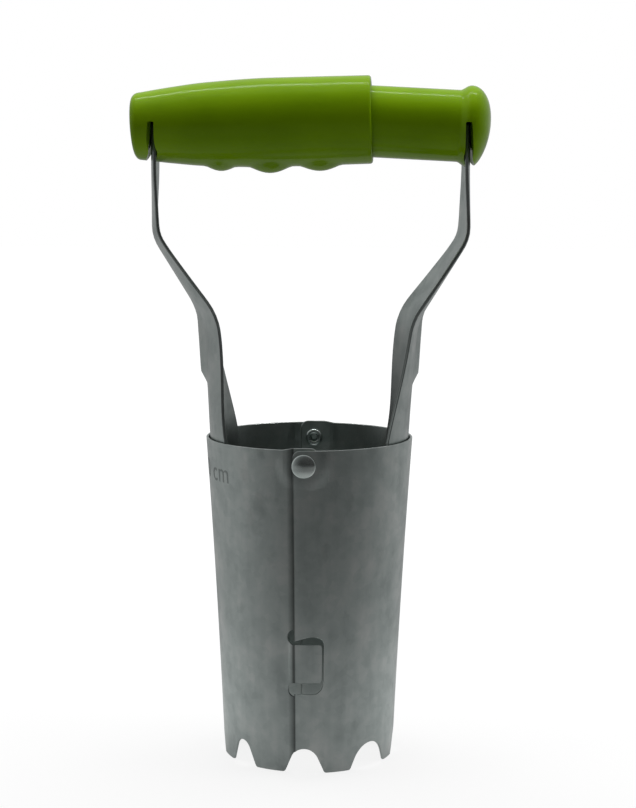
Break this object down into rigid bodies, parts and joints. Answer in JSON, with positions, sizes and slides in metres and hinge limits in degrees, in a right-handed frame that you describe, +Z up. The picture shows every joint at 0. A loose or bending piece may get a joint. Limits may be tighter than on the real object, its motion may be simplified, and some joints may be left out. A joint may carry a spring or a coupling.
{
  "type": "bulb planter",
  "caption": "Hand bulb planter: a toothed, tapered steel tube in riveted halves that open at the bottom when its sprung sliding grip is squeezed.",
  "frame": {"origin": "centre of the bounding box at its lowest point, on the tube's axis in the plane of the tooth tips", "axes": "+Z up the tube's axis towards the grip, +X along the grip towards the plunger's knob, -Y towards the front, where the right half's edge lies over the left one's"},
  "size_m": [0.1202, 0.0744, 0.2299],
  "materials": {
    "galvanised_steel": "satin",
    "rivet_steel": "satin",
    "green_plastic": "gloss",
    "spring_steel": "satin"
  },
  "bodies": {
    "left_half": {"left_shell": "galvanised_steel", "left_arm": "galvanised_steel", "front_rivet": "rivet_steel", "back_rivet": "rivet_steel"},
    "right_half": {"right_shell": "galvanised_steel", "right_arm": "galvanised_steel"},
    "sleeve": {"sleeve": "green_plastic", "return_spring": "spring_steel"},
    "plunger": {"plunger": "green_plastic"}
  },
  "joints": [
    {"name": "squeeze", "type": "hinge", "parent": "left_half", "child": "right_half", "pos_m": [0, 0, 0.1039], "axis": [0, -1, 0], "range_deg": [0, 14.37], "stiffness_Nm_per_rad": 14.5, "springref_deg": -4.41, "deforming": ["return_spring"]},
    {"name": "sleeve_turn", "type": "hinge", "parent": "left_half", "child": "sleeve", "pos_m": [-0.05265, 0, 0.2131], "axis": [0, -1, 0], "range_deg": [0, 5.44]},
    {"name": "plunger_turn", "type": "hinge", "parent": "right_half", "child": "plunger", "pos_m": [0.05265, 0, 0.2131], "axis": [0, -1, 0], "range_deg": [-4.29, 0]}
  ],
  "couplings": [
    {"joint": "sleeve_turn", "follows": "squeeze", "ratio": 0.37825},
    {"joint": "plunger_turn", "follows": "squeeze", "ratio": -0.29824}
  ]
}
